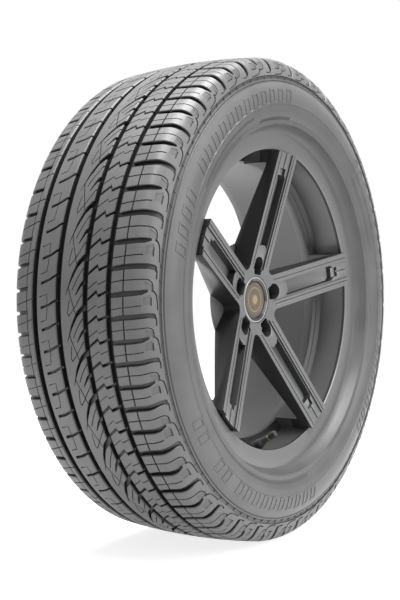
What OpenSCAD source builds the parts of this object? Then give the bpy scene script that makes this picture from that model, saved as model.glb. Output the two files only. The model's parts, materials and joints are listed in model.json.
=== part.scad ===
// Car tyre on a five-spoke alloy wheel.
// Millimetres. The wheel axle runs along Y, outboard is -Y, up is +Z.
// The origin is the centre of the hub bore on the face that meets the hub.

/* [Tyre] */
// Outside diameter of the tyre
tyre_od = 737.6; // [720:0.2:780]
// Width over the widest part of the sidewalls
section_width = 252; // [230:1:275]
// Width of the flat part of the tread
tread_width = 192; // [170:1:210]
// Depth of the four grooves that run round the tread
tread_depth = 8; // [2:0.5:10]
// Radius of the tread crown seen in section
crown_radius = 900; // [500:50:1500]
// How far the tread is pressed flat where it stands
contact_flat = 1.8; // [0.5:0.1:4]
// Number of pattern repeats round the tread
pair_count = 35; // [28:1:42]

/* [Rim] */
// Bead seat diameter of the rim
rim_diameter = 482.6; // [474:0.1:490]
// Width between the two rim flanges
rim_width = 177.8; // [165.1:12.7:203.2]
// Height of a flange above the bead seat
flange_height = 17.3; // [14:0.1:20]
// Thickness of a flange
flange_thickness = 10; // [8:0.5:12]
// Distance of the hub face outboard of the middle of the rim
wheel_offset = 18; // [0:1:30]
// Radius of the front opening inside the lip
opening_radius = 234; // [228:0.5:236]

/* [Spokes] */
// Direction of the first spoke, from +X towards up
first_spoke = 85.5; // [0:0.5:360]
// Width of a spoke
spoke_width = 55; // [45:1:62]
// Reach of the spoke tips
tip_radius = 228.5; // [222:0.5:230]
// Height of the spoke tips over the middle of the rim
tip_height = 103; // [96:1:106]
// Height of the hub front over the middle of the rim
hub_height = 56; // [50:1:64]
// Width of the long pocket in a spoke
slot_width = 25; // [18:1:30]
// Depth of the long pocket in a spoke
slot_depth = 20; // [8:1:26]
// Radius where the long pocket starts
slot_inner = 82; // [78:1:95]
// Radius where the long pocket ends
slot_outer = 194; // [170:1:200]
// How far the floor between the two rails lies under them
rail_height = 3; // [1:0.5:5]

/* [Hub] */
// Pitch circle of the wheel bolts
bolt_circle = 108; // [100:1:112]
// Diameter of a bolt hole
bolt_hole = 14; // [12:0.5:16]
// Diameter of the hub bore
hub_bore = 63.4; // [61.5:0.1:66.6]
// Depth of the part of the hub bore that sits on the hub
bore_length = 14; // [8:1:18]
// Diameter of the bore that holds the clips of the centre cap
cap_bore = 60; // [56:0.5:61]
// Diameter of the mounting pad
pad_diameter = 146; // [138:1:150]
// Diameter of the centre cap
cap_diameter = 72; // [68:0.5:74]
// Diameter of the badge in the centre cap
badge_diameter = 57; // [50:0.5:60]

/* [Valve] */
// Diameter of the valve hole in the rim
valve_hole = 11.3; // [11.3:0.1:16]
// Direction of the valve, from +X towards up
valve_angle = 268; // [240:1:290]
// Length of the valve outside the rim
valve_length = 31; // [24:1:42]

/* [Hidden] */
$fn = 144;
tyre_r = tyre_od / 2;
seat_r = rim_diameter / 2;
flange_r = max(seat_r + flange_height, opening_radius + 12);
half_rim = rim_width / 2;
lip_z = half_rim + flange_thickness;
half_section = section_width / 2;
half_tread = tread_width / 2;
groove_z = [for (z = [60, 23, -23, -67]) z * half_tread / 96];
rib_z = [for (z = [42, 45, 84]) z * half_tread / 96];
crown_in = tyre_r - tread_depth - 8.5;
groove_w = [9, 10, 9.5, 10];
pair_run = [1.1, 1.1, 1.0, 0.9, 0.9, 1.0];
pattern_start = 148;
bolt_seat_z = wheel_offset + 14;
cap_k = cap_diameter / 72;
cap_seat_z = hub_height - 9 * cap_k;
badge_seat_z = hub_height - 4.6 * cap_k;
slide = 0.3;
// Faces of the rim wall where the valve sits, along the valve
valve_front = -0.6;
valve_back = valve_front - 5;

function crown(z) = tyre_r - z * z / (2 * crown_radius);
// Radius at a distance below the crown, outside and inside, for a sidewall 110.2 high.
function down(d) = tyre_r - d / 110.2 * (tyre_r - flange_r);
function inner(d) = crown_in - d / 93.7 * (crown_in - flange_r);
function bez(a, b, c, n) = [for (i = [0:n]) let (t = i / n)
    (1 - t) * (1 - t) * a + 2 * t * (1 - t) * b + t * t * c];
function run_to(i) = i <= 0 ? 0 : pair_run[(i - 1) % 6] + run_to(i - 1);
function pair_angle(i) = pattern_start + 360 * run_to(i) / run_to(pair_count);
function pair_arc(i) = 2 * PI * tyre_r * pair_run[i % 6] / run_to(pair_count);
function mirror_z(pts) = [for (i = [len(pts) - 1:-1:0]) [pts[i][0], -pts[i][1]]];

// One groove of the tread section, met from the outboard side.
function groove_pts(i) = let (z = groove_z[i], w = groove_w[i] / 2, f = tread_depth)
    [[crown(z + w), z + w], [crown(z) - f, z + w - 1.5],
     [crown(z) - f, z - w + 1.5], [crown(z - w), z - w]];

// Outside of the tyre from the shoulder down to the rim flange.
shoulder = bez([crown(half_tread), half_tread], [crown(half_tread) - 2.5, half_section - 15],
    [down(32), half_section - 9.6], 7);
side_line = concat(shoulder,
    [[down(32.6), half_section - 10.6], [down(38), half_section - 10.2], [down(38.6), half_section - 8.6]],
    bez([down(40.4), half_section - 8.2], [down(52), half_section], [down(69), half_section], 5),
    [[down(73), half_section], [down(73.6), half_section + 0.7],
     [down(75.4), half_section + 0.7], [down(76), half_section - 0.2]],
    bez([down(82), half_section - 0.8], [down(89.6), half_section - 2], [down(97.2), lip_z + 19], 4),
    [[down(100.2), lip_z + 19.6], [down(104.2), lip_z + 18.6], [down(107.6), lip_z + 8],
     [flange_r - 1.6, lip_z + 1.4], [flange_r - 3.4, lip_z]]);
// Line shared by the bead of the tyre and the flange and seat of the rim.
bead_line = [[flange_r - 3.4, lip_z], [flange_r, lip_z - 3.4], [flange_r, lip_z - 7],
    [flange_r - 4, half_rim], [seat_r + 4, half_rim], [seat_r, half_rim - 4],
    [seat_r - 1.6, half_rim - 21]];
inside_line = concat([[seat_r + 7, half_rim - 20], [inner(89.7), half_rim - 6]],
    bez([inner(77.7), half_section - 16], [inner(53.5), half_section - 4],
        [inner(25.5), half_section - 17], 6),
    bez([inner(11.5), half_section - 24], [inner(1.5), half_section - 38], [crown_in, groove_z[0]], 4));

// Half of the section, from the inside of the crown over the bead to the shoulder.
half_line = let (p = concat(side_line, [for (i = [1:len(bead_line) - 1]) bead_line[i]], inside_line))
    [for (i = [len(p) - 1:-1:0]) p[i]];

module tyre_section()
    polygon(concat(
        groove_pts(0), [[crown(rib_z[0]), rib_z[0]]], groove_pts(1), [[crown(0), 0]],
        groove_pts(2), [[crown(rib_z[1]), -rib_z[1]]], groove_pts(3), [[crown(rib_z[2]), -rib_z[2]]],
        mirror_z(half_line), [[crown_in + 0.5, 0]], half_line, [[crown(rib_z[2]), rib_z[2]]]));

// A pocket sunk straight towards the axle; points are [height over mid rim, arc length].
module sunk(theta, floor_r, pts)
    rotate([0, 0, theta]) translate([floor_r, 0, 0]) rotate([0, 90, 0])
        linear_extrude(height = 24) polygon([for (p = pts) [-p[0], p[1]]]);

// A groove across the shoulder that follows its round; end is the lowest radius.
module over_shoulder(theta, width, side, inner_z, end_r, end_z, depth) {
    turn = width / tyre_r * 180 / PI;
    rotate([0, 0, theta - turn / 2]) rotate_extrude(angle = turn)
        polygon([for (p = [
            [crown(inner_z) - depth, inner_z], [crown(half_tread) - depth, half_tread - 2],
            [end_r, end_z - 5], [end_r, end_z + 16], [tyre_r + 9, end_z + 16],
            [tyre_r + 9, inner_z]]) [p[0], side * p[1]]]);
}

module tread_pair(i) {
    a = pair_angle(i);
    k = pair_arc(i);
    turn = 360 * pair_run[i % 6] / run_to(pair_count);
    g = groove_z;
    for (h = [0, 1]) {
        // outboard shoulder grooves, long and short in turn
        over_shoulder(a + (0.295 + 0.495 * h) * turn, 5.5, 1, g[0] + 2, down(h == 0 ? 29 : 17),
            h == 0 ? half_section - 11 : half_section - 16, 6);
        // zig-zag grooves of the outboard rib
        sunk(a + 0.3 * turn + h * turn / 2, crown(45) - 6, [
            [g[0], -3.2], [g[0] - 14.8, 1.2], [g[0] - 16.6, -6.4], [g[1] + 3, 5],
            [g[1] + 3, 9], [g[0] - 19, -0.6], [g[0] - 17.6, 5.6], [g[0], 0.4]]);
        // grooves let into the inboard rib
        sunk(a + 0.46 * turn + h * turn / 2, crown(35) - 6, [
            [g[2] + 3, -2], [g[2] - 5, -4], [g[2] - 18, 2.6], [g[3] + 11, 7],
            [g[3] + 11, 9.6], [g[2] - 18, 6.6], [g[2] - 5, 0.4], [g[2] + 3, 2]]);
        // inboard shoulder grooves
        over_shoulder(a + (0.2 + 0.5 * h) * turn, 5, -1, 14 - g[3], down(25), half_section - 12, 6);
    }
    // long swept groove and short fin of the centre rib
    sunk(a + 0.4 * turn, crown(0) - 7, [for (p = [
        [g[1] + 1, -0.06], [g[1] - 4, 0], [10, 0.15], [0, 0.43], [-4, 0.61], [-8.5, 0.8],
        [-3, 0.66], [1.5, 0.54], [11, 0.28], [g[1] - 4, 0.14], [g[1] + 1, 0.1]])
        [p[0], (p[1] - 0.4) * k]]);
    sunk(a + 0.65 * turn, crown(15) - 6, [for (p = [
        [g[1] + 1, 0.45], [15, 0.6], [8, 0.81], [15, 0.7], [g[1] + 1, 0.56]])
        [p[0], (p[1] - 0.65) * k]]);
}

module tyre_shape() {
    difference() {
        rotate_extrude() tyre_section();
        for (i = [0:pair_count - 1]) tread_pair(i);
        // where the tyre stands
        translate([0, -tyre_r - 10 + contact_flat, 0]) cube([tyre_r, 20, 2 * section_width], center = true);
    }
}

function ease(t) = t * t * (3 - 2 * t);
function face_z(r) = hub_height + (tip_height - hub_height)
    * (0.35 * (r - 40) / (tip_radius - 40) + 0.65 * ease((r - 40) / (tip_radius - 40)));
face_steps = 12;
function face_r(i) = 40 + (tip_radius - 40) * i / face_steps;

module barrel()
    rotate_extrude() polygon(concat(
        [[opening_radius, lip_z - 3], [opening_radius + 1, lip_z - 1.6], [opening_radius + 4, lip_z - 1.4],
         [flange_r - 6, lip_z - 0.4], [flange_r - 3.4, lip_z]],
        [for (i = [1:len(bead_line) - 1]) bead_line[i]],
        [[seat_r - 0.6, half_rim - 23], [seat_r - 0.6, half_rim - 26], [seat_r - 3, half_rim - 29],
         [seat_r - 19, half_rim - 35], [seat_r - 19, half_rim - 54], [seat_r - 4, half_rim - 71],
         [seat_r - 3, -half_rim + 29], [seat_r - 0.6, -half_rim + 26], [seat_r - 0.6, -half_rim + 23]],
        [for (i = [len(bead_line) - 1:-1:1]) [bead_line[i][0], -bead_line[i][1]]],
        [[flange_r - 3.4, -lip_z], [flange_r - 8, -lip_z], [seat_r - 7, -lip_z + 5],
         [seat_r - 9, -half_rim + 10], [seat_r - 10, half_rim - 69], [seat_r - 26, half_rim - 51],
         [seat_r - 26, half_rim - 29], [seat_r - 11, half_rim - 18], [seat_r - 10, lip_z - 12],
         [min(opening_radius - 1.5, seat_r - 8.8), lip_z - 8]]));

// The turned body that the windows leave as five spokes.
module spoke_disc()
    rotate_extrude() polygon(concat(
        [[0, hub_height - 2], [40, hub_height - 2]],
        [for (i = [0:face_steps]) [face_r(i), face_z(face_r(i))]],
        [[tip_radius, tip_height - 14], [seat_r - 7, tip_height - 19], [seat_r - 7, half_rim - 24],
         [seat_r - 22, half_rim - 32], [seat_r - 22, half_rim - 36], [200, 50], [150, 38],
         [pad_diameter / 2 + 14, wheel_offset + 10], [pad_diameter / 2, wheel_offset],
         [0, wheel_offset]]));

// Plan of one window: two spoke sides and a round inner corner.
window_fillet = 11;
function window_corner() = (spoke_width / 2 + window_fillet) / sin(36);
module window_plan(out = 260) {
    c = window_corner();
    w = window_fillet;
    polygon(concat(
        [for (i = [0:8]) let (a = 180 + 54 - 108 * i / 8) [c + w * cos(a), w * sin(a)]],
        [[c + w * cos(126) + out * cos(36), w * sin(126) + out * sin(36)],
         [out + c, 0],
         [c + w * cos(126) + out * cos(36), -w * sin(126) - out * sin(36)]]));
}

// A strip along the spoke, x to the side, y outwards, cut down to drop under the face.
module face_strip(x0, x1, r0, r1, drop) {
    n = 10;
    translate([x1, 0, 0]) rotate([0, -90, 0])
        linear_extrude(height = x1 - x0)
            polygon(concat(
                [for (i = [0:n]) let (r = r0 + (r1 - r0) * i / n) [face_z(max(r, 40)) - drop, r]],
                [[140, r1], [140, r0]]));
}

module spoke_cuts() {
    w = slot_width / 2;
    // floor between the rails
    face_strip(-w - 2, w + 2, 45, tip_radius + 2, rail_height);
    // fine lines along the rails
    for (s = [-1, 1]) face_strip(s * 18.5 - 0.7, s * 18.5 + 0.7, 52, tip_radius + 2, 1.2);
    // short groove from the long pocket to the tip
    face_strip(-1.3, 1.3, slot_outer - 2, tip_radius + 2, rail_height + 2.5);
    // long pocket
    intersection() {
        translate([0, 0, 20]) linear_extrude(height = 110) polygon([
            [-w, slot_inner - 2], [-6, slot_inner + 2.2], [6, slot_inner + 2.2], [w, slot_inner - 2],
            [w, slot_outer - 5], [w - 4, slot_outer], [4 - w, slot_outer], [-w, slot_outer - 5]]);
        face_strip(-w - 1, w + 1, slot_inner - 8, slot_outer + 8, slot_depth);
    }
    // bolt pocket with its seat and hole
    b = bolt_circle / 2;
    translate([0, 0, bolt_seat_z]) linear_extrude(height = 60) polygon(concat(
        [[-9, cap_diameter / 2 + 2.6], [9, cap_diameter / 2 + 2.6]],
        [for (i = [0:6]) let (a = 180 * i / 6) [13 * cos(a), b + 13 * sin(a)]]));
    translate([0, b, wheel_offset - 1]) cylinder(r = bolt_hole / 2, h = 40);
    translate([0, b, bolt_seat_z - 5]) cylinder(r1 = bolt_hole / 2, r2 = 12.4, h = 5.01);
    // pocket in the back of the mounting pad
    rotate([0, 0, 36]) translate([0, b + 4, wheel_offset - 1]) linear_extrude(height = 9) polygon(
        [for (i = [0:9]) let (a = 36 * i) [13 * cos(a), 10 * sin(a)]]);
    // hollow in the back of the spoke
    translate([spoke_width / 2 - 9, 0, 0]) rotate([0, -90, 0])
        linear_extrude(height = spoke_width - 18)
            polygon([[-20, 96], [36, 96], [46, 130], [58, 180], [60, 206], [-20, 206]]);
}

module valve_frame() rotate([0, 0, valve_angle]) translate([seat_r - 18.5, 0, half_rim - 23.5])
    rotate([0, -34, 0]) children();

module alloy_wheel_shape() {
    difference() {
        union() {
            barrel();
            difference() {
                spoke_disc();
                difference() {
                    for (k = [0:4]) rotate([0, 0, first_spoke - 36 - 72 * k])
                        linear_extrude(height = 140) window_plan();
                    // sloping hub between the spokes
                    translate([0, 0, wheel_offset])
                        cylinder(r1 = pad_diameter / 2 + 2, r2 = cap_diameter / 2 + 14,
                            h = hub_height - wheel_offset);
                }
            }
        }
        for (k = [0:4]) rotate([0, 0, first_spoke - 90 - 72 * k]) spoke_cuts();
        translate([0, 0, wheel_offset - 10]) cylinder(r = hub_bore / 2, h = 10 + bore_length);
        translate([0, 0, wheel_offset]) cylinder(r = cap_bore / 2, h = hub_height);
        translate([0, 0, cap_seat_z]) cylinder(r = cap_diameter / 2 + slide, h = hub_height);
        valve_frame() {
            translate([0, 0, -valve_length]) cylinder(r = valve_hole / 2, h = 2 * valve_length);
            translate([0, 0, valve_front]) cylinder(r = valve_hole / 2 + 4.35, h = valve_length + 8);
            translate([0, 0, valve_back - 14]) cylinder(r = valve_hole / 2 + 5.35, h = 14);
        }
    }
}

module centre_cap_shape() {
    r = cap_diameter / 2;
    b = badge_diameter / 2;
    c = cap_bore / 2;
    z = hub_height;
    k = cap_k;
    rotate_extrude() polygon([[0, cap_seat_z], [r, cap_seat_z], [r, z - 1.6 * k], [r - k, z - 0.6 * k],
        [r - 2.4 * k, z - 0.6 * k], [b + 0.6 * k, z - 2.6 * k], [b + 0.1, badge_seat_z],
        [0, badge_seat_z]]);
    // clips that snap into the cap bore
    for (i = [0:5]) rotate([0, 0, 60 * i]) rotate_extrude(angle = 34)
        polygon([for (p = [[4.4, 1], [2, 1], [2, -7], [slide / k, -10], [2, -13], [4.4, -13]])
            [c - p[0] * k, cap_seat_z + p[1] * k]]);
}

module cap_badge_shape()
    rotate_extrude() polygon([[0, badge_seat_z], [badge_diameter / 2, badge_seat_z],
        [badge_diameter / 2, badge_seat_z + 1], [badge_diameter / 2 - 1.2, badge_seat_z + 1.6],
        [badge_diameter / 2 - 3.4, badge_seat_z + 1.6], [badge_diameter / 2 - 4, badge_seat_z + 1.2],
        [10, badge_seat_z + 1.4], [9.4, badge_seat_z + 1.8], [0, badge_seat_z + 2]]);

// Wire ring that presses the clips outwards.
module cap_spring_ring_shape()
    rotate([0, 0, 8]) rotate_extrude(angle = 344)
        translate([cap_bore / 2 - 5.3 * cap_k, cap_seat_z - 9.5 * cap_k])
            circle(r = 0.9 * cap_k, $fn = 24);

module valve_body_shape() valve_frame() rotate_extrude() polygon([
    [2.6, valve_back - 5.6], [6.4, valve_back - 5.6], [9, valve_back - 3.1], [9, valve_back],
    [valve_hole / 2, valve_back], [valve_hole / 2, valve_front], [7.8, valve_front],
    [7.6, valve_front + 4], [5.4, valve_front + 9], [4.6, valve_length - 12], [2.6, valve_length - 12]]);
module valve_tube_shape() valve_frame() rotate_extrude() polygon([
    [1.5, valve_back - 7.6], [2.6, valve_back - 7.6], [2.6, valve_length - 12],
    [3.9, valve_length - 12], [3.9, valve_length - 1], [3.5, valve_length], [1.5, valve_length]]);
module valve_core_shape() valve_frame() rotate_extrude() polygon([
    [0, valve_length - 14], [1.5, valve_length - 14], [1.5, valve_length - 3], [0.6, valve_length - 3],
    [0.6, valve_length - 0.6], [0, valve_length - 0.6]]);
module valve_cap_shape() valve_frame() difference() {
    rotate_extrude() polygon([[3.9, valve_length - 9], [5, valve_length - 9], [5, valve_length + 2.4],
        [4.2, valve_length + 3.4], [0, valve_length + 3.4], [0, valve_length + 0.4],
        [3.9, valve_length + 0.4]]);
    for (k = [0:7]) rotate([0, 0, 45 * k]) translate([5.4, 0, valve_length - 3])
        cube([1.2, 1.1, 8.4], center = true);
}

// Axle along Y with the outboard side towards -Y.
module placed() rotate([90, 0, 0]) translate([0, 0, -wheel_offset]) children();

module tyre() color([0.08, 0.08, 0.085]) placed() tyre_shape();
module alloy_wheel() color([0.36, 0.37, 0.39]) placed() alloy_wheel_shape();
module centre_cap() color([0.1, 0.1, 0.1]) placed() centre_cap_shape();
module cap_badge() color([0.5, 0.4, 0.25]) placed() cap_badge_shape();
module cap_spring_ring() color([0.6, 0.6, 0.62]) placed() cap_spring_ring_shape();
module valve_body() color([0.05, 0.05, 0.05]) placed() valve_body_shape();
module valve_tube() color([0.7, 0.58, 0.3]) placed() valve_tube_shape();
module valve_core() color([0.75, 0.65, 0.4]) placed() valve_core_shape();
module valve_cap() color([0.03, 0.03, 0.03]) placed() valve_cap_shape();

tyre();
alloy_wheel();
centre_cap();
cap_badge();
cap_spring_ring();
valve_body();
valve_tube();
valve_core();
valve_cap();
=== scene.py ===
# %% [markdown]
# # A car tyre on a five-spoke alloy wheel
# The engineering model fixes every size, so it is loaded first and nothing in it is moved.
# All the work below gives it rubber, paint and the fine forms that only a close look shows.
# Everything is in metres. The axle runs along Y, the outboard side looks towards -Y, up is +Z.

# %% Load the fixed frame
import json
import math

import bpy
from mathutils import Matrix, Vector

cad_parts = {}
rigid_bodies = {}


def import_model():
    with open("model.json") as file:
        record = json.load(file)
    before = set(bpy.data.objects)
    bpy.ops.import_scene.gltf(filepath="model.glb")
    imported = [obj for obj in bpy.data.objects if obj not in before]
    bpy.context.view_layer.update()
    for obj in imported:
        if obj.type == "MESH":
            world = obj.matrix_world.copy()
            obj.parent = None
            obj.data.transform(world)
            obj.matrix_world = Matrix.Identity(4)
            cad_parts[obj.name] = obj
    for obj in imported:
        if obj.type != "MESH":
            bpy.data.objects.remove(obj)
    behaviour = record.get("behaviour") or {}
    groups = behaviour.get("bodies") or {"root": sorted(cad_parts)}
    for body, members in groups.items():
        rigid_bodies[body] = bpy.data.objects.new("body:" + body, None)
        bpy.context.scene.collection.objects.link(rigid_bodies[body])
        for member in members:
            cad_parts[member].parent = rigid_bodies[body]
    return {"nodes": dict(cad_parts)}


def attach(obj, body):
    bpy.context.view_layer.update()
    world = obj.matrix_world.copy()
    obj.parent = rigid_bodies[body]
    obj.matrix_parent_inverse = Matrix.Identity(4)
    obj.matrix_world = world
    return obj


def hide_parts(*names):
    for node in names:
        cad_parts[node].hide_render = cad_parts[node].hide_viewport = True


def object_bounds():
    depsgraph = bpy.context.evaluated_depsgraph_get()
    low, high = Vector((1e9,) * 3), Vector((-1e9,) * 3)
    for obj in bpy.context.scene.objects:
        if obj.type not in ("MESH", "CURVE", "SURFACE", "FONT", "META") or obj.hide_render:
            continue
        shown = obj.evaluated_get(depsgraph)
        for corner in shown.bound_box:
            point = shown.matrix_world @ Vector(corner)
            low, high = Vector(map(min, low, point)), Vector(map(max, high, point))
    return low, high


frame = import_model()
cad_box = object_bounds()
scene = bpy.context.scene
print("nodes:", sorted(frame["nodes"]))

# %% [markdown]
# The camera stands level with the hub, 1.65 m away and well round towards the tread, so that the
# tread fills the left half of the picture. A short distance makes the perspective strong. A longer
# lens from further away would flatten the wheel and lose that.

# %% Camera
camera_data = bpy.data.cameras.new("camera")
camera = bpy.data.objects.new("camera", camera_data)
scene.collection.objects.link(camera)
camera_data.sensor_width = 36.0
camera_data.lens = 61.417
camera_spot = Vector((-1.36170, -0.86350, 0.00500))
looked_at = Vector((0.0, 0.06846, -0.0009))
camera.location = camera_spot
camera.rotation_mode = "QUATERNION"
camera.rotation_quaternion = (looked_at - camera_spot).to_track_quat("-Z", "Y")
scene.camera = camera
print("camera distance:", round((looked_at - camera_spot).length, 3), "m")

# %% [markdown]
# The tyre is a ring, so it is easiest to think of it as a section: a radius from the axle and a
# height outboard of the rim's middle. These are the sizes of the engineering model, in millimetres.

# %% Sizes of the tyre
MM = 0.001
tyre_r = 368.8
rim_middle = 18.0
half_section = 126.0
half_tread = 96.0
flange_r = 258.6
lip_z = 98.9
contact_flat = 1.8
pitches = 35
pitch = 2 * math.pi * tyre_r / pitches
pitch_run = (1.1, 1.1, 1.0, 0.9, 0.9, 1.0)
first_pitch = math.radians(148)
print("one pitch of the pattern is", round(pitch, 1), "mm long")

# %% [markdown]
# Blender's operators act on whatever is selected, and the loaded model arrives selected. So every
# step begins by clearing the selection. A line through given points is drawn as one would by hand:
# one vertex, extruded again and again.


# %% Small helpers
def clear_selection():
    if bpy.context.object and bpy.context.object.mode != "OBJECT":
        bpy.ops.object.mode_set(mode="OBJECT")
    bpy.ops.object.select_all(action="DESELECT")


def pick(*pieces):
    clear_selection()
    for piece in pieces:
        piece.select_set(True)
    bpy.context.view_layer.objects.active = pieces[0]


def edit(kind="VERT", every=True):
    bpy.ops.object.mode_set(mode="EDIT")
    bpy.ops.mesh.select_mode(type=kind)
    bpy.ops.mesh.select_all(action="SELECT" if every else "DESELECT")


def done():
    bpy.ops.object.mode_set(mode="OBJECT")


def one_vertex(name, spot=(0, 0, 0)):
    clear_selection()
    bpy.ops.mesh.primitive_plane_add(size=MM)
    piece = bpy.context.object
    piece.name = name
    piece.data.name = name
    edit()
    bpy.ops.mesh.merge(type="CENTER")
    bpy.ops.transform.translate(value=spot)
    return piece


def extrude_by(step=(0, 0, 0)):
    bpy.ops.mesh.extrude_region_move(TRANSFORM_OT_translate={"value": step})


def drawn_line(name, points, closed=False):
    points = [Vector(p) for p in points]
    piece = one_vertex(name, points[0])
    for a, b in zip(points, points[1:]):
        extrude_by(b - a)
    if closed:
        done()
        for v in piece.data.vertices:
            v.select = v.index in (0, len(points) - 1)
        bpy.ops.object.mode_set(mode="EDIT")
        bpy.ops.mesh.edge_face_add()
    done()
    return piece


def spun(name, section, steps):
    """A closed ring from a closed section of (radius, height) in mm."""
    points = [(r * MM, (rim_middle - h) * MM, 0) for r, h in section]
    piece = drawn_line(name, points, closed=True)
    edit()
    bpy.ops.mesh.spin(steps=steps, angle=2 * math.pi, center=(0, 0, 0), axis=(0, 1, 0))
    bpy.ops.mesh.select_all(action="SELECT")
    bpy.ops.mesh.remove_doubles(threshold=1e-6)
    bpy.ops.mesh.normals_make_consistent(inside=False)
    done()
    return piece


def soft_edges(piece, degrees=32):
    pick(piece)
    bpy.ops.object.shade_smooth_by_angle(angle=math.radians(degrees))


def curve(a, b, c, steps):
    """Points on a curve that leaves a towards b and arrives at c."""
    return [tuple((1 - t) ** 2 * p + 2 * t * (1 - t) * q + t * t * r for p, q, r in zip(a, b, c))
            for t in (i / steps for i in range(steps + 1))]


# %% [markdown]
# The tread is what the eye meets first. It has four grooves that run all the way round, and between
# them a pattern that repeats thirty-five times. A real mould is made of such repeats too, in three
# slightly different lengths, so that the tyre doesn't hum one note. So one repeat is modelled flat,
# as a tile of rubber, and each groove is a tool that cuts it. X runs along the tread, Y across it
# (outboard is +Y) and Z up. A tool is a line of floor points, extruded sideways and then upwards.


# %% Groove tools
tools = bpy.data.collections.new("groove_tools")
scene.collection.children.link(tools)
deep = [(-1.2, 0.0), (0.8, 1.5)]
sipe = [(0.8, 0.1)]
shallow = [(0.8, 0.2)]
overhang = 1.6
main_depth, main_slope = 8, 1.2


def nearest(spots, at):
    return min(range(len(spots)), key=lambda i: (spots[i][0] - at).length)


def groove_tool(low, high, depth, levels):
    """low and high are the two edges of the floor, as (across, along); levels widen it upwards."""
    count = len(low)
    depths = depth if isinstance(depth, list) else [depth] * count
    tool = one_vertex("groove_tool")
    for _ in range(1, count):
        extrude_by((0, 0, MM))
    done()
    for v in tool.data.vertices:
        i = round(v.co.z / MM)
        v.co = (low[i][1] * MM, low[i][0] * MM, -depths[i] * MM)
    floor = [(Vector((a[1], a[0], -d)) * MM, Vector((b[1], b[0], -d)) * MM)
             for a, b, d in zip(low, high, depths)]
    edit()
    extrude_by()
    done()
    for v in tool.data.vertices:
        if v.select:
            v.co = floor[nearest(floor, v.co)][1]
    rim = []
    for a, b in zip(low, high):
        a, b = Vector(a), Vector(b)
        rim += [(a, (a - b).normalized()), (b, (b - a).normalized())]
    for number, (height, wider) in enumerate(levels):
        bpy.ops.object.mode_set(mode="EDIT")
        if number == 0:
            bpy.ops.mesh.select_all(action="SELECT")
        extrude_by()
        done()
        for v in tool.data.vertices:
            if v.select:
                spot, way = rim[nearest(rim, Vector((v.co.y, v.co.x)) / MM)]
                spot = spot + way * wider
                v.co = (spot.y * MM, spot.x * MM, height * MM)
        rim = [(spot + way * wider, way) for spot, way in rim]
    edit()
    bpy.ops.mesh.normals_make_consistent(inside=False)
    done()
    scene.collection.objects.unlink(tool)
    tools.objects.link(tool)


def band(low, high, depth, levels, offsets=(0,)):
    """Puts the tool at each offset, and again wherever it crosses an end of the tile."""
    for offset in offsets:
        for turn in (-1, 0, 1):
            a, b = ([(t, (u + offset + turn) * pitch) for t, u in edge] for edge in (low, high))
            reach = [s for _, s in a + b]
            if max(reach) > -overhang and min(reach) < pitch + overhang:
                groove_tool(a, b, depth, levels)


def line(path, widths, depth, offsets=(0,)):
    """A narrow cut of a given width along a path."""
    low, high = [], []
    for i, (t, u) in enumerate(path):
        before, after = path[max(i - 1, 0)], path[min(i + 1, len(path) - 1)]
        way = Vector((after[0] - before[0], (after[1] - before[1]) * pitch)).normalized()
        half = (widths[i] if isinstance(widths, list) else widths) / 2
        low.append((t + way.y * half, u - way.x * half / pitch))
        high.append((t - way.y * half, u + way.x * half / pitch))
    band(low, high, depth, sipe, offsets)


def ring_groove(across, width, depth, slope):
    ends = (-4.0, pitch + 4.0)
    side = width / 2 - slope
    levels = [(-overhang, slope - 0.5), (0.8, slope + 0.9)] if slope else sipe
    groove_tool([(across - side, s) for s in ends], [(across + side, s) for s in ends], depth, levels)


print("levels of a deep groove:", deep, " of a sipe:", sipe)

# %% [markdown]
# Four wide grooves run round the tyre and carry the water away. A hair-thin one lies near each
# shoulder. The place across is measured from the middle of the tread along its surface.

# %% Grooves round the tyre
for across, width in ((60, 9), (23, 9), (-23, 10), (-67, 10.5)):
    ring_groove(across, width, main_depth, main_slope)
ring_groove(83, 1.9, 2.6, 0)
ring_groove(-81, 1.4, 2.2, 0)

# %% [markdown]
# On the outboard shoulder a long and a short cross groove take turns. The long one ends in a hook,
# the short one in a fine curl that sweeps round the corner of the tyre, and between them lie thin
# cuts and two shallow patches. Places are (across in mm, along as a share of the repeat).

# %% Outboard shoulder
band([(62, .265), (66, .262), (80, .225), (100, .205), (110, .195), (118, .19), (125, .205),
      (128.5, .235)],
     [(62, .362), (66, .357), (80, .33), (100, .31), (110, .30), (118, .287), (125, .30),
      (128.5, .33)], [6, 6, 6, 6, 5, 3.5, 2.6, 2], deep)
line([(127.8, .28), (129.2, .33), (129.2, .40), (128.8, .48)], 1.9, 1.6)
line([(63, .572), (66, .565), (80, .535), (100, .515), (112, .50), (117, .505), (121, .535),
      (123.3, .58), (124, .64), (124, .73)], 1.4, 2.2)
band([(62, .78), (66, .775), (80, .745), (100, .727), (112, .712), (117, .71)],
     [(62, .872), (66, .865), (80, .85), (100, .824), (109, .805), (117, .745)],
     [6, 6, 6, 6, 4.5, 2.5], deep)
line([(121.5, .715), (126, .74), (129.2, .80), (130.7, .90), (131.3, 1.02), (131.5, 1.13)],
     [2.2, 2.2, 2, 1.8, 1.6, 1.4], 1.8)
line([(63, 1.107), (66, 1.10), (80, 1.065), (90, 1.05), (103, 1.027), (108, 1.018)], 1.4, 2.0)
line([(121.4, .85), (121.5, .94), (121.5, 1.03)], 1.8, 1.3)
band([(112, .535), (122.6, .60)], [(112, .70), (122.6, .70)], 0.55, shallow)
band([(110.5, .86), (120.5, .80)], [(110.5, 1.0), (120.5, 1.0)], 0.55, shallow)

# %% [markdown]
# The ribs between the round grooves: zig-zags on the outboard rib, a long swoosh with a short fin
# on the middle one, and curved cuts with an outlined box on the inboard one.

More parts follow.
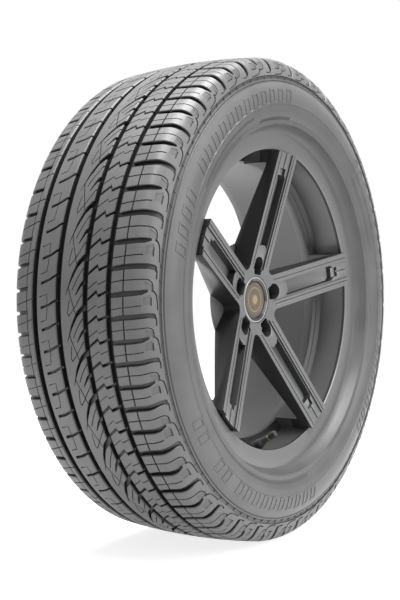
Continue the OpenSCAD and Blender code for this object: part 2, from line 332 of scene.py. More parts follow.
# %% Ribs
both = (0, 0.5)
band([(62, .20), (56, .232), (44.5, .303), (42, .215), (31, .34), (26, .40)],
     [(62, .25), (56, .282), (44.5, .353), (42, .265), (31, .39), (26, .45)], 6, deep, both)
line([(62, .50), (57, .529), (45, .608), (42, .55), (29, .687), (26, .72)], 1.2, 2.2)
line([(62, .95), (57, .979), (45, 1.06), (42, 1.005), (29, 1.137), (26, 1.17)], 1.2, 2.2)
band([(25, -.08), (20, -.01), (10, .14), (0, .43), (-4, .61), (-8.5, .80)],
     [(25, .07), (20, .13), (10, .27), (0, .54), (-4, .67), (-8.5, .815)],
     [7, 7, 6.5, 5.5, 4, 2], [(-1, 0), (0.8, 0.9)])
line([(-4.5, .64), (-1, .82), (3, .98), (8, 1.22)], 1.3, 2.2)
band([(25, .43), (21, .49), (15, .60), (8, .80)], [(25, .54), (21, .58), (15, .69), (8, .83)],
     [6, 6, 5, 2.5], [(-1, 0), (0.8, 0.7)])
line([(24, .18), (19, .295), (10, .50), (2, .72)], 1.2, 2)
line([(24, .68), (19, .79), (10, .99), (3, 1.13), (-4, 1.25)], 1.2, 2)
line([(-4, 1.25), (-5.5, 1.185), (-4, 1.03), (-2, .90)], 1.2, 1.6)
band([(-17, .43), (-28, .396), (-40, .486), (-54, .551)],
     [(-17, .478), (-28, .444), (-40, .534), (-54, .599)], [6, 6, 5, 3.5], deep, both)
line([(-56, .85), (-42, .785), (-42, 1.145), (-44, 1.34), (-55, 1.39)], 1.2, 2)

# %% [markdown]
# The inboard shoulder is plainer: two wide cross grooves in each repeat and a thin cut between them.

# %% Inboard shoulder
band([(-79, .635), (-98, .67), (-110, .69), (-124, .70)],
     [(-79, .71), (-98, .745), (-110, .765), (-124, .775)], [5, 5, 4, 2], deep, both)
line([(-70, .33), (-100, .48), (-116, .55)], 1.3, 2)
line([(-70, .88), (-100, 1.01), (-116, 1.07)], 1.3, 2)

# %% [markdown]
# One boolean modifier cuts the tile with the whole collection of tools. Its two ends are opened
# afterwards, because the next tile continues there, and the flat tops are sliced, so that the tile
# can bend round the tyre and over its shoulders without facets.

# %% Cut the tile
tile_edge = 133.0
tile_depth = 10.0
clear_selection()
bpy.ops.mesh.primitive_cube_add(size=1)
tile = bpy.context.object
tile.name = "tread_tile"
edit()
bpy.ops.transform.resize(value=(pitch * MM, 2 * tile_edge * MM, tile_depth * MM))
bpy.ops.transform.translate(value=(pitch / 2 * MM, 0, -tile_depth / 2 * MM))
done()
cut = tile.modifiers.new("cut", "BOOLEAN")
cut.operation = "DIFFERENCE"
cut.operand_type = "COLLECTION"
cut.collection = tools
cut.solver = "EXACT"
pick(tile)
bpy.ops.object.modifier_apply(modifier="cut")
for tool in list(tools.objects):
    bpy.data.objects.remove(tool)
bpy.data.collections.remove(tools)
print("faces of the cut tile:", len(tile.data.polygons))

# %% [markdown]
# The faces at the two ends are found by their place and their normal. Straight slices along and
# across keep every triangle small where the outline bends most.

# %% Open its ends and slice it
edit()
bpy.ops.mesh.remove_doubles(threshold=1e-5)
edit("FACE", every=False)
done()
for face in tile.data.polygons:
    at_end = abs(face.center.x) < 1e-5 or abs(face.center.x - pitch * MM) < 1e-5
    face.select = at_end and abs(face.normal.x) > 0.99
ends = sum(face.select for face in tile.data.polygons)
bpy.ops.object.mode_set(mode="EDIT")
bpy.ops.mesh.delete(type="FACE")
for i in range(1, 8):
    bpy.ops.mesh.select_all(action="SELECT")
    bpy.ops.mesh.bisect(plane_co=(pitch * MM * i / 8, 0, 0), plane_no=(1, 0, 0))
slices = (36, 42, 49, 75, 84.5, 92, 98, 103, 107, 111, 115, 119, 122, 125, 128, 131)
for t in [0] + [side * t for t in slices for side in (1, -1)]:
    bpy.ops.mesh.select_all(action="SELECT")
    bpy.ops.mesh.bisect(plane_co=(0, t * MM, 0), plane_no=(0, 1, 0))
bpy.ops.mesh.select_all(action="SELECT")
bpy.ops.mesh.remove_doubles(threshold=1e-5)
bpy.ops.mesh.quads_convert_to_tris(quad_method="BEAUTY", ngon_method="BEAUTY")
done()
print("end faces opened:", ends, " triangles in the tile:", len(tile.data.polygons))

# %% [markdown]
# Now the tile is wrapped. A place across the tile becomes a place on the tyre's outline, from the
# crown over the shoulder to the sidewall, and a place along it becomes an angle. The outline tells
# the radius, the height and the direction in which rubber stands up. Where the tyre stands on the
# floor it is pressed flat by a couple of millimetres.


# %% Outline of the tread
def crown(h):
    return tyre_r - h * h / 1800


outline = [(crown(4 * i), 4.0 * i) for i in range(24)]
outline += curve((crown(half_tread), half_tread), (crown(half_tread) - 2.5, half_section - 15),
                 (tyre_r - 32, half_section - 9.6), 14)
outline += [(tyre_r - 33, half_section - 9.2), (tyre_r - 37, half_section - 9.0)]
reach = [0.0]
for a, b in zip(outline, outline[1:]):
    reach.append(reach[-1] + math.dist(a, b))


def outward(j):
    before, after = outline[max(j - 1, 0)], outline[min(j + 1, len(outline) - 1)]
    if j == 0:
        return Vector((1, 0))
    return Vector((after[1] - before[1], before[0] - after[0])).normalized()


def on_outline(t):
    """Radius, height and outward direction at t mm from the middle of the tread."""
    side, t = (1 if t >= 0 else -1), abs(t)
    i = 0
    while i < len(outline) - 2 and reach[i + 1] < t:
        i += 1
    f = (t - reach[i]) / (reach[i + 1] - reach[i])
    (r0, h0), (r1, h1) = outline[i], outline[i + 1]
    way = (outward(i) * (1 - f) + outward(i + 1) * f).normalized()
    return r0 + (r1 - r0) * f, side * (h0 + (h1 - h0) * f), way.x, side * way.y


print("outline from the middle to the sidewall:", round(reach[-1], 1), "mm")

# %% [markdown]
# Thirty-five copies follow each other round the tyre, some longer and some shorter. Their shared
# points are merged, and the tread closes on itself without a seam. The depth of each point below
# the tread's surface is kept with the mesh, because the rubber's colour uses it later.


# %% Wrap thirty-five tiles round the tyre
def in_place(r, h, angle):
    """A point of the wheel from radius and height in mm and an angle."""
    return (r * math.cos(angle) * MM, (rim_middle - h) * MM,
            max(r * math.sin(angle), contact_flat - tyre_r) * MM)


rounded = []
# The depth is kept so that the rubber's colour can paint shade into the grooves.
groove_depth = tile.data.attributes.new("depth", "FLOAT", "POINT")
for v, value in zip(tile.data.vertices, groove_depth.data):
    value.value = min(max(-v.co.z / MM / main_depth, 0), 1)
for v in tile.data.vertices:
    r, h, way_r, way_h = on_outline(v.co.y / MM)
    rounded.append((v.co.x / MM, r + way_r * v.co.z / MM, h + way_h * v.co.z / MM))
start = first_pitch
tiles = []
for i in range(pitches):
    run = pitch_run[i % len(pitch_run)]
    copy = bpy.data.objects.new("tile", tile.data.copy())
    scene.collection.objects.link(copy)
    for v, (s, r, h) in zip(copy.data.vertices, rounded):
        v.co = in_place(r, h, start + s * run / tyre_r)
    start += pitch * run / tyre_r
    tiles.append(copy)
bpy.data.objects.remove(tile)
pick(*tiles)
bpy.ops.object.join()
tread = bpy.context.object
tread.name = "tread"
tread.data.name = "tread"
edit()
bpy.ops.mesh.remove_doubles(threshold=1e-5)
bpy.ops.mesh.select_all(action="DESELECT")
bpy.ops.mesh.select_mode(type="EDGE")
bpy.ops.mesh.select_non_manifold()
done()
print("turned by", round(math.degrees(start - first_pitch), 2), "degrees,",
      len(tread.data.polygons), "triangles, open edges:", sum(e.select for e in tread.data.edges))
soft_edges(tread)

# %% [markdown]
# Under the tread lies the carcass: the sidewalls, the beads that sit on the rim and the hollow
# inside. It is the same all the way round, so its section is drawn once and spun. A sunk band with
# a ridge separates it from the shoulder, and a fine ring marks the widest part.

# %% Carcass
under_tread = 9
upper = [on_outline(t) for t in range(0, 128, 6)]
section = [(r - under_tread * way_r, h - under_tread * way_h) for r, h, way_r, way_h in upper]
side_skin = [(333.0, 115.6), (330.8, 115.9), (330.2, 117.6), (328.6, 117.9), (328.0, 117.9),
             (327.6, 117.5), (327.0, 117.6), (326.5, 118.7)]
side_skin += curve((325.6, 119.1), (tyre_r - 54, half_section), (tyre_r - 69, half_section), 8)
side_skin += [(tyre_r - 73, half_section), (tyre_r - 73.6, half_section + 0.7),
              (tyre_r - 75.4, half_section + 0.7), (tyre_r - 76, half_section - 0.2)]
side_skin += curve((tyre_r - 82, half_section - 0.8), (tyre_r - 89.6, half_section - 2),
                   (flange_r + 13, lip_z + 19), 6)
section += [(335.6, 108.0), (335.4, 115.4)] + side_skin
section += [(flange_r + 10, lip_z + 19.6), (flange_r + 6, lip_z + 18.6), (flange_r + 2.6, lip_z + 8),
            (flange_r - 1.6, lip_z + 1.4), (flange_r - 3.4, lip_z), (flange_r, lip_z - 3.4),
            (flange_r, lip_z - 7), (flange_r - 4, 88.9), (245.3, 88.9), (241.3, 84.9),
            (239.7, 67.9), (248.3, 68.9), (flange_r + 4, 82.9)]
section += curve((flange_r + 16, 110), (tyre_r - 70, 122), (tyre_r - 42, 109), 6)
section += curve((tyre_r - 28, 102), (tyre_r - 18, 88), (tyre_r - 16.5, 60), 4)
ring = section + [(r, -h) for r, h in reversed(section)][:-1]
carcass = spun("carcass", ring, 180)
for v in carcass.data.vertices:
    v.co.z = max(v.co.z, (contact_flat - tyre_r) * MM)
soft_edges(carcass)
print("carcass:", len(ring), "points in the section,", len(carcass.data.polygons), "faces")

# %% [markdown]
# A mould leaves raised marks on a sidewall: here slanted outlined bars, rows of fine dashes and a
# ring of short slanted vents. One of each is modelled flat. The bar is a box whose top and bottom
# are inset and bridged, which makes a frame, and it is sliced to follow the round of the side.

# %% Model one bar, one dash and one vent
buried = 1.0


def flat_box(name, width, height, raised, slant, line_width=0.0):
    """A low box, partly buried in the side; with a line width it is a hollow frame."""
    clear_selection()
    bpy.ops.mesh.primitive_cube_add(size=2)
    box = bpy.context.object
    box.name = name
    for v in box.data.vertices:
        v.co = (v.co.x * width / 2 * MM, v.co.y * height / 2 * MM,
                (raised if v.co.z > 0 else -buried) * MM)
    if line_width:
        edit("FACE", every=False)
        done()
        for face in box.data.polygons:
            face.select = abs(face.normal.z) > 0.9
        bpy.ops.object.mode_set(mode="EDIT")
        bpy.ops.mesh.inset(thickness=line_width * MM, depth=0)
        bpy.ops.mesh.bridge_edge_loops()
        for slice_at in (-6, -3, 0, 3, 6):
            bpy.ops.mesh.select_all(action="SELECT")
            bpy.ops.mesh.bisect(plane_co=(0, slice_at * MM, 0), plane_no=(0, 1, 0))
        bpy.ops.mesh.select_all(action="SELECT")
        bpy.ops.mesh.normals_make_consistent(inside=False)
        done()
    for v in box.data.vertices:
        v.co.x += slant * v.co.y
    return box


bar = flat_box("bar", 14, 20, 0.7, 0.25, line_width=2.1)
dash = flat_box("dash", 1.5, 4.2, 0.45, 0.1)
vent = flat_box("vent", 0.9, 5.5, 0.4, 0.7)
print("faces of a bar:", len(bar.data.polygons), " of a dash:", len(dash.data.polygons))

# %% [markdown]
# Every copy is laid on the side by its own radius and angle, and each of its points takes its height
# from the carcass section. Marks and carcass come out of one mould, so they are joined at the end.

# %% Lay the copies on the side
skin = sorted(side_skin + [(flange_r + 10, lip_z + 19.6), (flange_r + 6, lip_z + 18.6)])
bar_r, bar_step = 306, 4.6
dash_pitch = 3
vent_r, vent_step = 331.5, 3.45
marks = []


def side_height(r):
    for (r0, h0), (r1, h1) in zip(skin, skin[1:]):
        if r0 <= r <= r1 and r1 > r0:
            return h0 + (h1 - h0) * (r - r0) / (r1 - r0)
    return skin[-1][1]


def lay(mark, r, first, last, step):
    """Copies of the mark at radius r in mm, from the first to the last angle in degrees."""
    for n in range(int((last - first) / step) + 1):
        copy = bpy.data.objects.new(mark.name, mark.data.copy())
        scene.collection.objects.link(copy)
        for v in copy.data.vertices:
            at = r + v.co.y / MM
            angle = math.radians(first + n * step) - v.co.x / MM / at
            v.co = in_place(at, side_height(at) + v.co.z / MM, angle)
        marks.append(copy)


for first, last in ((94, 149), (154, 170), (212, 221), (227, 234), (239, 283), (316, 352), (2, 52)):
    lay(bar, bar_r, first, last, bar_step)
for r, first, last in ((283, 115, 148), (268.5, 122, 143), (273, 92, 110), (269, 297, 328),
                       (275, 212, 280), (281, 20, 46), (277, 338, 358)):
    lay(dash, r, first, last, math.degrees(dash_pitch / r))
lay(vent, vent_r, 0, 359, vent_step)
pick(carcass, *marks)
bpy.ops.object.join()
for mark in (bar, dash, vent):
    bpy.data.objects.remove(mark)
soft_edges(carcass)
print("marks:", len(marks), " carcass faces:", len(carcass.data.polygons))

# %% [markdown]
# A finish is a small graph of nodes. The same few steps come back in each of them: noise, a ramp
# that turns a value into colours, a value spread over a range, arithmetic, and a mix of two colours.


# %% Node helpers
def new_material(name):
    made = bpy.data.materials.new(name)
    made.use_nodes = True
    nodes = made.node_tree.nodes
    return made, nodes, made.node_tree.links, nodes["Principled BSDF"]


def noise(nodes, links, vector, scale, detail=2):
    made = nodes.new("ShaderNodeTexNoise")
    made.inputs["Scale"].default_value = scale
    made.inputs["Detail"].default_value = detail
    links.new(vector, made.inputs["Vector"])
    return made.outputs["Fac"]


def ramped(nodes, links, value, stops):
    """Colours along a value; stops hold (place from 0 to 1, colour)."""
    made = nodes.new("ShaderNodeValToRGB")
    ramp = made.color_ramp
    ramp.elements.remove(ramp.elements[1])
    for k, (spot, colour) in enumerate(stops):
        stop = ramp.elements[0] if k == 0 else ramp.elements.new(spot)
        stop.position = spot
        stop.color = tuple(colour) + (1,)
    links.new(value, made.inputs["Fac"])
    return made.outputs["Color"]


def spread(nodes, links, value, low, high):
    made = nodes.new("ShaderNodeMapRange")
    made.inputs["To Min"].default_value = low
    made.inputs["To Max"].default_value = high
    links.new(value, made.inputs["Value"])
    return made.outputs["Result"]


def maths(nodes, links, operation, first, second):
    """One step of arithmetic; the second value is a number or the output of a node."""
    made = nodes.new("ShaderNodeMath")
    made.operation = operation
    links.new(first, made.inputs[0])
    if isinstance(second, (int, float)):
        made.inputs[1].default_value = second
    else:
        links.new(second, made.inputs[1])
    return made.outputs[0]


def mixed(nodes, links, first, second, blend="MIX"):
    made = nodes.new("ShaderNodeMix")
    made.data_type = "RGBA"
    made.blend_type = blend
    made.inputs[0].default_value = 1
    links.new(first, made.inputs[6])
    links.new(second, made.inputs[7])
    return made


def from_axle(nodes, links, near, far):
    """The distance from the axle, as 0 at the near radius and 1 at the far one, in mm."""
    place = nodes.new("ShaderNodeTexCoord")
    flat = nodes.new("ShaderNodeVectorMath")
    flat.operation = "MULTIPLY"
    flat.inputs[1].default_value = (1, 0, 1)
    links.new(place.outputs["Object"], flat.inputs[0])
    away = nodes.new("ShaderNodeVectorMath")
    away.operation = "LENGTH"
    links.new(flat.outputs["Vector"], away.inputs[0])
    share = nodes.new("ShaderNodeMapRange")
    share.inputs["From Min"].default_value = near * MM
    share.inputs["From Max"].default_value = far * MM
    links.new(away.outputs["Value"], share.inputs["Value"])
    return share.outputs["Result"]


def toned(material, value, stops):
    """Multiplies the colour of a material by a grey that follows the value."""
    nodes, links = material.node_tree.nodes, material.node_tree.links
    colour = nodes["Principled BSDF"].inputs["Base Color"]
    tone = ramped(nodes, links, value, [(spot, (grey, grey, grey)) for spot, grey in stops])
    mix = mixed(nodes, links, colour.links[0].from_socket, tone, "MULTIPLY")
    links.new(mix.outputs[2], colour)


def times(colour, factor):
    return tuple(c * factor for c in colour)


def clothe(piece, material):
    piece.data.materials.clear()
    piece.data.materials.append(material)


# %% [markdown]
# Rubber is nearly black, but it never looks so: its fine grain scatters the light into a dull grey.
# So the colour is a dark neutral that varies a little, the roughness is middling, and two sizes of
# noise give the grain and the slight unevenness of a moulded surface. The grooves get painted shade:
# the depth that was kept with the tile's points darkens their colour. The side gets painted shade in
# and beside its sunk band, and its colour is a little darker towards the rim.


# %% Rubber
def rubber(name, colour, roughness, grain):
    made, nodes, links, surface = new_material(name)
    place = nodes.new("ShaderNodeTexCoord").outputs["Object"]
    cloud = noise(nodes, links, place, 22, 6)
    tone = ramped(nodes, links, cloud, [(0.3, times(colour, 0.86)), (0.7, times(colour, 1.12))])
    links.new(tone, surface.inputs["Base Color"])
    rough = spread(nodes, links, cloud, roughness - 0.06, roughness + 0.06)
    links.new(rough, surface.inputs["Roughness"])
    bump = nodes.new("ShaderNodeBump")
    bump.inputs["Strength"].default_value = grain
    bump.inputs["Distance"].default_value = 0.0003
    links.new(noise(nodes, links, place, 900, 3), bump.inputs["Height"])
    links.new(bump.outputs["Normal"], surface.inputs["Normal"])
    return made


tread_rubber = rubber("tread_rubber", (0.09, 0.09, 0.092), 0.42, 0.3)
depth = tread_rubber.node_tree.nodes.new("ShaderNodeAttribute")
depth.attribute_name = "depth"
# Painted shade: the tread's colour darkens with the depth into the grooves.
toned(tread_rubber, depth.outputs["Fac"], [(0, 1), (0.06, 0.8), (0.3, 0.14), (0.7, 0.05)])
clothe(tread, tread_rubber)
side_rubber = rubber("sidewall_rubber", (0.074, 0.074, 0.076), 0.42, 0.25)
side_share = from_axle(side_rubber.node_tree.nodes, side_rubber.node_tree.links, 240, 340)
# Painted shade: the colour darkens by radius in and beside the sunk band near the shoulder; it is also
# a little darker towards the rim.
toned(side_rubber, side_share, [
    (0, 0.75), (0.2, 0.95), (0.54, 0.9), (0.56, 1), (0.85, 1), (0.868, 0.35), (0.88, 0.4),
    (0.885, 1), (0.9, 0.8), (0.915, 0.45), (1, 0.4)])
clothe(carcass, side_rubber)
for piece in (tread, carcass):
    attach(piece, "root")
    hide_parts("tyre")
    print(piece.name, "wears", piece.data.materials[0].name)

# %% [markdown]
# The wheel is one casting. Its rim is a ring like the carcass: a lip that leans inwards, a deep
# front zone, the well that lets a tyre be fitted, and a long plain zone behind. Only the inside of
# it can be seen. The section below runs from the lip over the outside and back along the inside.

# %% Rim
bead = [(258.6, 95.5), (258.6, 91.9), (254.6, 88.9), (245.3, 88.9), (241.3, 84.9), (239.7, 67.9)]
rim_section = [(229.0, 93.5), (229.6, 94.6), (231.4, 95.4), (252.4, 98.5), (255.2, 98.9)] + bead
rim_section += [(240.7, 66), (240.7, 63), (237.3, 59), (237.3, 50), (222.3, 43), (222.3, 23),
                (237.3, 11), (238.3, -60), (240.7, -63), (240.7, -66)]
rim_section += [(r, -h) for r, h in reversed(bead)]
rim_section += [(255.2, -98.9), (250.6, -98.9), (234.3, -94), (232.3, -79), (231.3, 15),
                (216.3, 22.9), (215.3, 24.9), (215.3, 39.0), (230.3, 45.0), (231.3, 85), (229, 90)]
wheel = spun("wheel", rim_section, 144)
print("rim faces:", len(wheel.data.polygons))

# %% [markdown]
# The five spokes come from a turned disc, as on a lathe: the face climbs evenly from the hub to the
# tips, and the back climbs with it, so that the spokes get thinner outwards. Behind each tip a root
# reaches back to the well. Windows are then cut out, and what is left are straight spokes.

# %% Turned disc
hub_z, hub_r = 56.0, 44.0
tip_r, tip_z = 226.5, 103.0
bolt_circle_r = 54.0
first_spoke = 85.5


def face_z(r):
    return hub_z + (tip_z - hub_z) * max(r - hub_r, 0) / (tip_r - hub_r)


disc_section = [(31.7, 18), (31.7, 32), (30, 32), (30, 47), (36.3, 47), (36.3, hub_z), (hub_r, hub_z),
                (tip_r, tip_z), (tip_r, 90), (234.3, 84), (234.3, 44), (219.3, 39.5), (211, 39.5),
                (211, 79.4), (206, 79.4), (150, 55.2), (87, 28), (73, 18)]
disc = spun("spoke_disc", disc_section, 144)
print("disc faces:", len(disc.data.polygons))

# %% [markdown]
# The cutters of one spoke and one window are drawn once, pointing straight up, and copied round the
# axle. Each is a plan, filled and extruded. A floor that follows the sloping face is set by height.

# %% Cutters of one spoke
cutters = bpy.data.collections.new("wheel_cutters")
scene.collection.children.link(cutters)


def prism(points, floor, top=150.0):
    """points are (to the side, outwards); floor is a height in mm or a function of the radius."""
    height = floor if callable(floor) else (lambda r: floor)
    tool = drawn_line("wheel_cutter", [(x * MM, (rim_middle - height(y)) * MM, y * MM)
                                       for x, y in points], closed=True)
    edit()
    bpy.ops.mesh.edge_face_add()
    extrude_by()
    done()
    for v in tool.data.vertices:
        if v.select:
            v.co.y = (rim_middle - top) * MM
    edit()
    bpy.ops.mesh.normals_make_consistent(inside=False)
    done()
    return tool


def under_face(drop):
    return lambda r: face_z(r) - drop


def strip(x0, x1, r0, r1, drop):
    return prism([(x0, r0), (x1, r0), (x1, r1), (x0, r1)], under_face(drop))


def arc(x, y, radius, start_degrees, end_degrees, steps):
    angles = [math.radians(start_degrees + (end_degrees - start_degrees) * i / steps)
              for i in range(steps + 1)]
    return [(x + radius * math.cos(a), y + radius * math.sin(a)) for a in angles]


past_tip = 232
half_slot = 12.5
rail_line, rail_line_width, rail_line_drop = 19.6, 1.5, 1.6
sunk_floor = strip(-14.8, 14.8, 47, past_tip, 2.6)
tip_notch = strip(-1.2, 1.2, 190, past_tip, 5.4)
pocket = prism([(-half_slot, 80), (-6, 84.5), (6, 84.5), (half_slot, 80), (half_slot, 189),
                (half_slot - 4, 194), (4 - half_slot, 194), (-half_slot, 189)], under_face(15))
pocket_step = prism([(-8, 190), (8, 190), (8, 203), (-8, 203)], under_face(7.5))
bolt_pocket = prism([(-9, 38.6), (9, 38.6)] + arc(0, bolt_circle_r, 13, 0, 180, 8), 32)
bolt_hole = prism(arc(0, bolt_circle_r, 7, 0, 345, 23), 10, 40)
spoke_tools = [sunk_floor, tip_notch, pocket, pocket_step, bolt_pocket, bolt_hole]
for middle in (-rail_line, rail_line):
    spoke_tools.append(strip(middle - rail_line_width / 2, middle + rail_line_width / 2, 52, past_tip,
                             rail_line_drop))
spoke_half, fillet, reach_out = 27.5, 11.0, 260.0
lean = math.radians(54)
corner = (spoke_half + fillet) / math.sin(math.radians(36))
edge_x, edge_y = fillet * math.sin(lean), corner - fillet * math.cos(lean)
far_x, far_y = edge_x + reach_out * math.cos(lean), edge_y + reach_out * math.sin(lean)
window = prism([(y, corner + x) for x, y in arc(0, 0, fillet, 234, 126, 8)]
               + [(far_x, far_y), (0, corner + reach_out), (-far_x, far_y)], 29)
print("tools of a spoke:", len(spoke_tools))

# %% [markdown]
# Five turns of every tool cut the disc in one go, and the disc is then welded into the rim. A last
# bevel breaks every sharp edge by a millimetre, as on a casting, and that is what catches the light.


# %% Cut the disc and weld it into the rim
def turned_copy(tool, degrees):
    copy = bpy.data.objects.new("wheel_cutter", tool.data.copy())
    copy.data.transform(Matrix.Rotation(-math.radians(degrees), 4, "Y"))
    cutters.objects.link(copy)


def cleaned():
    edit()
    bpy.ops.mesh.remove_doubles(threshold=2e-5)
    bpy.ops.mesh.dissolve_limited(angle_limit=math.radians(0.5))
    done()


spoke_turn = 72
for k in range(5):
    upright = first_spoke - 90 - spoke_turn * k
    for tool in spoke_tools:
        turned_copy(tool, upright)
    turned_copy(window, upright - spoke_turn / 2)
for tool in spoke_tools + [window]:
    bpy.data.objects.remove(tool)
cut = disc.modifiers.new("cut", "BOOLEAN")
cut.operation = "DIFFERENCE"
cut.operand_type = "COLLECTION"
cut.collection = cutters
cut.solver = "EXACT"
pick(disc)
bpy.ops.object.modifier_apply(modifier="cut")
cleaned()
print("disc faces:", len(disc.data.polygons))
weld = wheel.modifiers.new("weld", "BOOLEAN")
weld.operation = "UNION"
weld.object = disc
weld.solver = "MANIFOLD"
pick(wheel)
bpy.ops.object.modifier_apply(modifier="weld")
for tool in list(cutters.objects):
    bpy.data.objects.remove(tool)
bpy.data.collections.remove(cutters)
bpy.data.objects.remove(disc)
cleaned()
rounding = wheel.modifiers.new("rounding", "BEVEL")
rounding.width = 0.9 * MM
rounding.segments = 2
rounding.limit_method = "ANGLE"
rounding.angle_limit = math.radians(38)
rounding.use_clamp_overlap = True
pick(wheel)
bpy.ops.object.modifier_apply(modifier="rounding")
edit("EDGE", every=False)
bpy.ops.mesh.select_non_manifold()
done()
print("wheel faces:", len(wheel.data.polygons), "open edges:", sum(e.select for e in wheel.data.edges))
soft_edges(wheel, 30)

# %% [markdown]
# The wheel is painted a dark satin grey with very fine metal flakes. Light and shade are painted into
# its colour by the surface's own direction: the side walls get painted shade and are nearly black, and
# the rounded edges of the outboard faces get a painted highlight, lighter than the flat faces. The
# outboard share is 1 on a face and 0 on a wall.


# %% Wheel paint
def paint(name, colour, metal, roughness, coat):
    made, nodes, links, surface = new_material(name)
    surface.inputs["Metallic"].default_value = metal
    surface.inputs["Coat Weight"].default_value = coat
    surface.inputs["Coat Roughness"].default_value = 0.25
    place = nodes.new("ShaderNodeTexCoord").outputs["Object"]
    flakes = noise(nodes, links, place, 1600)
    tone = ramped(nodes, links, flakes, [(0.35, times(colour, 0.85)), (0.72, times(colour, 1.25))])
    links.new(tone, surface.inputs["Base Color"])
    rough = spread(nodes, links, noise(nodes, links, place, 14, 5), roughness - 0.06, roughness + 0.07)
    links.new(rough, surface.inputs["Roughness"])
    return made


paint_metal, bare_metal = 0.3, 0.45
wheel_paint = paint("wheel_paint", (0.2, 0.201, 0.205), paint_metal, 0.4, 0.2)
nodes, links = wheel_paint.node_tree.nodes, wheel_paint.node_tree.links
facing = nodes.new("ShaderNodeTexCoord")
direction = nodes.new("ShaderNodeSeparateXYZ")
links.new(facing.outputs["Normal"], direction.inputs[0])
outboard = maths(nodes, links, "MULTIPLY", direction.outputs["Y"], -1)
# Painted shade on the walls and a painted highlight on the rounded edges, both chosen by the outboard
# share.
toned(wheel_paint, outboard, [(0, 0.1), (0.22, 0.12), (0.4, 1), (0.86, 1), (0.94, 0.6)])
print("paint nodes:", len(nodes))

# %% [markdown]
# The inside of the rim is barer metal than the spokes. Where it begins is told by place alone: deep
# inside the wheel and beyond the reach of the spokes, or on the upright wall behind the lip. The
# test is 1 there and 0 elsewhere, and it mixes the two finishes. Where the bare metal faces
# outboard, as on the flanks of the well, it gets painted shade.

# %% Bare metal inside the rim
deep_y, spokes_end_r, front_wall_r = -0.050, 213, 229.6
near_r, far_r = 200, 240
height = nodes.new("ShaderNodeSeparateXYZ")
links.new(facing.outputs["Object"], height.inputs[0])
share = from_axle(nodes, links, near_r, far_r)
deep = maths(nodes, links, "GREATER_THAN", height.outputs["Y"], deep_y)
beyond = maths(nodes, links, "GREATER_THAN", share, (spokes_end_r - near_r) / (far_r - near_r))
upright = maths(nodes, links, "LESS_THAN", outboard, 0.3)
behind_lip = maths(nodes, links, "GREATER_THAN", share, (front_wall_r - near_r) / (far_r - near_r))
wall = maths(nodes, links, "MULTIPLY", behind_lip, upright)
barrel = maths(nodes, links, "MAXIMUM", maths(nodes, links, "MULTIPLY", deep, beyond), wall)
# Painted shade: where the bare metal faces outboard it is painted nearly black.
metal_with_painted_shade = ramped(nodes, links, outboard, [(0.2, (0.09, 0.09, 0.092)), (0.36, (0.02, 0.02, 0.021))])
surface = nodes["Principled BSDF"]
mix = mixed(nodes, links, surface.inputs["Base Color"].links[0].from_socket, metal_with_painted_shade)
links.new(barrel, mix.inputs[0])
links.new(mix.outputs[2], surface.inputs["Base Color"])
links.new(spread(nodes, links, barrel, paint_metal, bare_metal), surface.inputs["Metallic"])
clothe(wheel, wheel_paint)
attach(wheel, "root")
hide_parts("alloy_wheel")
print(wheel.name, "wears", wheel.data.materials[0].name)

# %% [markdown]
# The small parts keep the shapes they have, because those are right, and get finishes of their own:
# moulded gloss plastic for the cap, a ringed brown-gold plate for its badge, drawn steel for the
# spring ring and brass for the valve. A plate with rings is made from the distance to the axle.


# %% Finishes of the small parts
def drawn_metal(name, colour, roughness):
    made, nodes, links, surface = new_material(name)
    surface.inputs["Metallic"].default_value = 1.0
    along = nodes.new("ShaderNodeMapping")
    along.inputs["Scale"].default_value = (40, 900, 40)
    links.new(nodes.new("ShaderNodeTexCoord").outputs["Object"], along.inputs["Vector"])
    streaks = noise(nodes, links, along.outputs["Vector"], 3, 4)
    tone = ramped(nodes, links, streaks, [(0.3, times(colour, 0.7)), (0.7, colour)])
    links.new(tone, surface.inputs["Base Color"])
    rough = spread(nodes, links, streaks, roughness - 0.08, roughness + 0.08)
    links.new(rough, surface.inputs["Roughness"])
    return made


def ringed_plate(name, radius, rings):
    """Rings hold (share of the radius in mm, colour), from the middle outwards."""
    made, nodes, links, surface = new_material(name)
    surface.inputs["Metallic"].default_value = 0.55
    surface.inputs["Coat Weight"].default_value = 0.6
    surface.inputs["Coat Roughness"].default_value = 0.08
    tone = ramped(nodes, links, from_axle(nodes, links, 0, radius), rings)
    links.new(tone, surface.inputs["Base Color"])
    place = nodes.new("ShaderNodeTexCoord").outputs["Object"]
    rough = spread(nodes, links, noise(nodes, links, place, 700), 0.28, 0.46)
    links.new(rough, surface.inputs["Roughness"])
    return made


gold, brown, dark = (0.3, 0.22, 0.1), (0.095, 0.068, 0.042), (0.03, 0.022, 0.016)
black, bright = (0.012, 0.012, 0.013), (0.42, 0.42, 0.43)
brass = drawn_metal("brass", (0.62, 0.45, 0.2), 0.32)
finishes = {
    "centre_cap": ringed_plate("cap_plastic", 36, [
        (0.0, black), (0.92, black), (0.945, bright), (0.985, bright), (0.997, black)]),
    "cap_badge": ringed_plate("badge_plate", 28.5, [
        (0.0, gold), (0.2, gold), (0.3, brown), (0.6, brown), (0.65, gold), (0.7, brown),
        (0.86, brown), (0.95, dark), (1.0, dark)]),
    "cap_spring_ring": drawn_metal("spring_steel", (0.5, 0.5, 0.51), 0.34),
    "valve_body": rubber("valve_rubber", (0.03, 0.03, 0.031), 0.5, 0.3),
    "valve_tube": brass,
    "valve_core": brass,
    "valve_cap": rubber("valve_cap_plastic", (0.022, 0.022, 0.023), 0.36, 0.2),
}
for name, finish in finishes.items():
    for place in frame["nodes"][name].material_slots:
        place.material = finish
print("small parts finished:", len(finishes))

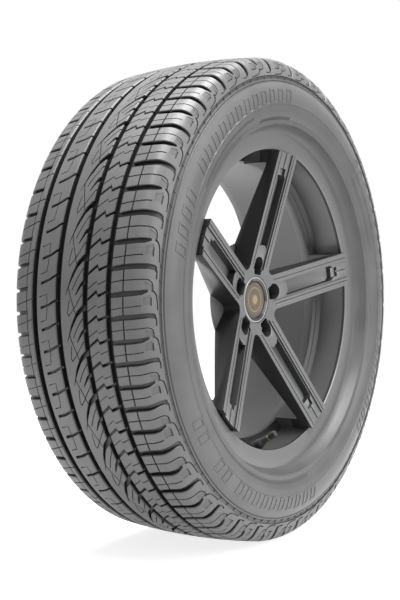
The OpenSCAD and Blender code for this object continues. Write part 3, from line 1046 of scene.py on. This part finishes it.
# %% [markdown]
# The light is a large soft lamp overhead and a weaker one from the outboard side, as in a studio
# with a white ceiling. The background is white by the world itself: rays from the camera, and those
# in a reflection, see pure white, while the light on the object stays at a plain level.

# %% Light
scene.view_settings.view_transform = "Standard"


def area_lamp(name, spot, size, power):
    """A soft lamp that looks at the middle of the wheel."""
    data = bpy.data.lights.new(name, "AREA")
    data.shape = "RECTANGLE"
    data.size, data.size_y = size
    data.energy = power
    lamp = bpy.data.objects.new(name, data)
    scene.collection.objects.link(lamp)
    lamp.location = spot
    lamp.rotation_mode = "QUATERNION"
    lamp.rotation_quaternion = (-Vector(spot)).to_track_quat("-Z", "Y")


area_lamp("top_light", (-0.3, -0.35, 2.0), (2.0, 1.8), 150)
area_lamp("side_light", (0.4, -2.4, 0.9), (1.8, 1.6), 36)


def shown_white(nodes, links, shader, white, surface_in):
    """Camera, glossy and transmission rays see the white shader, all others the first one."""
    path = nodes.new("ShaderNodeLightPath").outputs
    seen = maths(nodes, links, "MAXIMUM", path["Is Camera Ray"], path["Is Glossy Ray"])
    seen = maths(nodes, links, "MAXIMUM", seen, path["Is Transmission Ray"])
    mix = nodes.new("ShaderNodeMixShader")
    links.new(seen, mix.inputs["Fac"])
    links.new(shader, mix.inputs[1])
    links.new(white, mix.inputs[2])
    links.new(mix.outputs[0], surface_in)


def plain_background(nodes, strength):
    made = nodes.new("ShaderNodeBackground")
    made.inputs["Color"].default_value = (1, 1, 1, 1)
    made.inputs["Strength"].default_value = strength
    return made.outputs[0]


room_strength = 0.22
world = bpy.data.worlds.new("studio")
scene.world = world
world.use_nodes = True
sky = world.node_tree
sky.nodes.clear()
sky_out = sky.nodes.new("ShaderNodeOutputWorld")
shown_white(sky.nodes, sky.links, plain_background(sky.nodes, room_strength),
            plain_background(sky.nodes, 1.0), sky_out.inputs["Surface"])

# %% [markdown]
# The tyre stands on a plain pale floor. The floor is lit as any surface is, so that it keeps the
# tyre's shadow, and for the camera a white glow is added, which brings its lit part to pure white.

# %% Floor
clear_selection()
bpy.ops.mesh.primitive_plane_add(size=9, location=(0, 0, cad_box[0][2] - 0.0005))
floor = bpy.context.object
floor.name = "floor"
pale = bpy.data.materials.new("pale_floor")
pale.use_nodes = True
ground = pale.node_tree
ground.nodes.clear()
ground_out = ground.nodes.new("ShaderNodeOutputMaterial")
matt = ground.nodes.new("ShaderNodeBsdfDiffuse")
matt.inputs["Color"].default_value = (0.72, 0.72, 0.72, 1)
glow = ground.nodes.new("ShaderNodeEmission")
glow.inputs["Color"].default_value = (1, 1, 1, 1)
glow.inputs["Strength"].default_value = 0.8
lit_and_glowing = ground.nodes.new("ShaderNodeAddShader")
ground.links.new(matt.outputs[0], lit_and_glowing.inputs[0])
ground.links.new(glow.outputs[0], lit_and_glowing.inputs[1])
shown_white(ground.nodes, ground.links, matt.outputs[0], lit_and_glowing.outputs[0],
            ground_out.inputs["Surface"])
clothe(floor, pale)
print("floor height:", round(floor.location.z, 4))
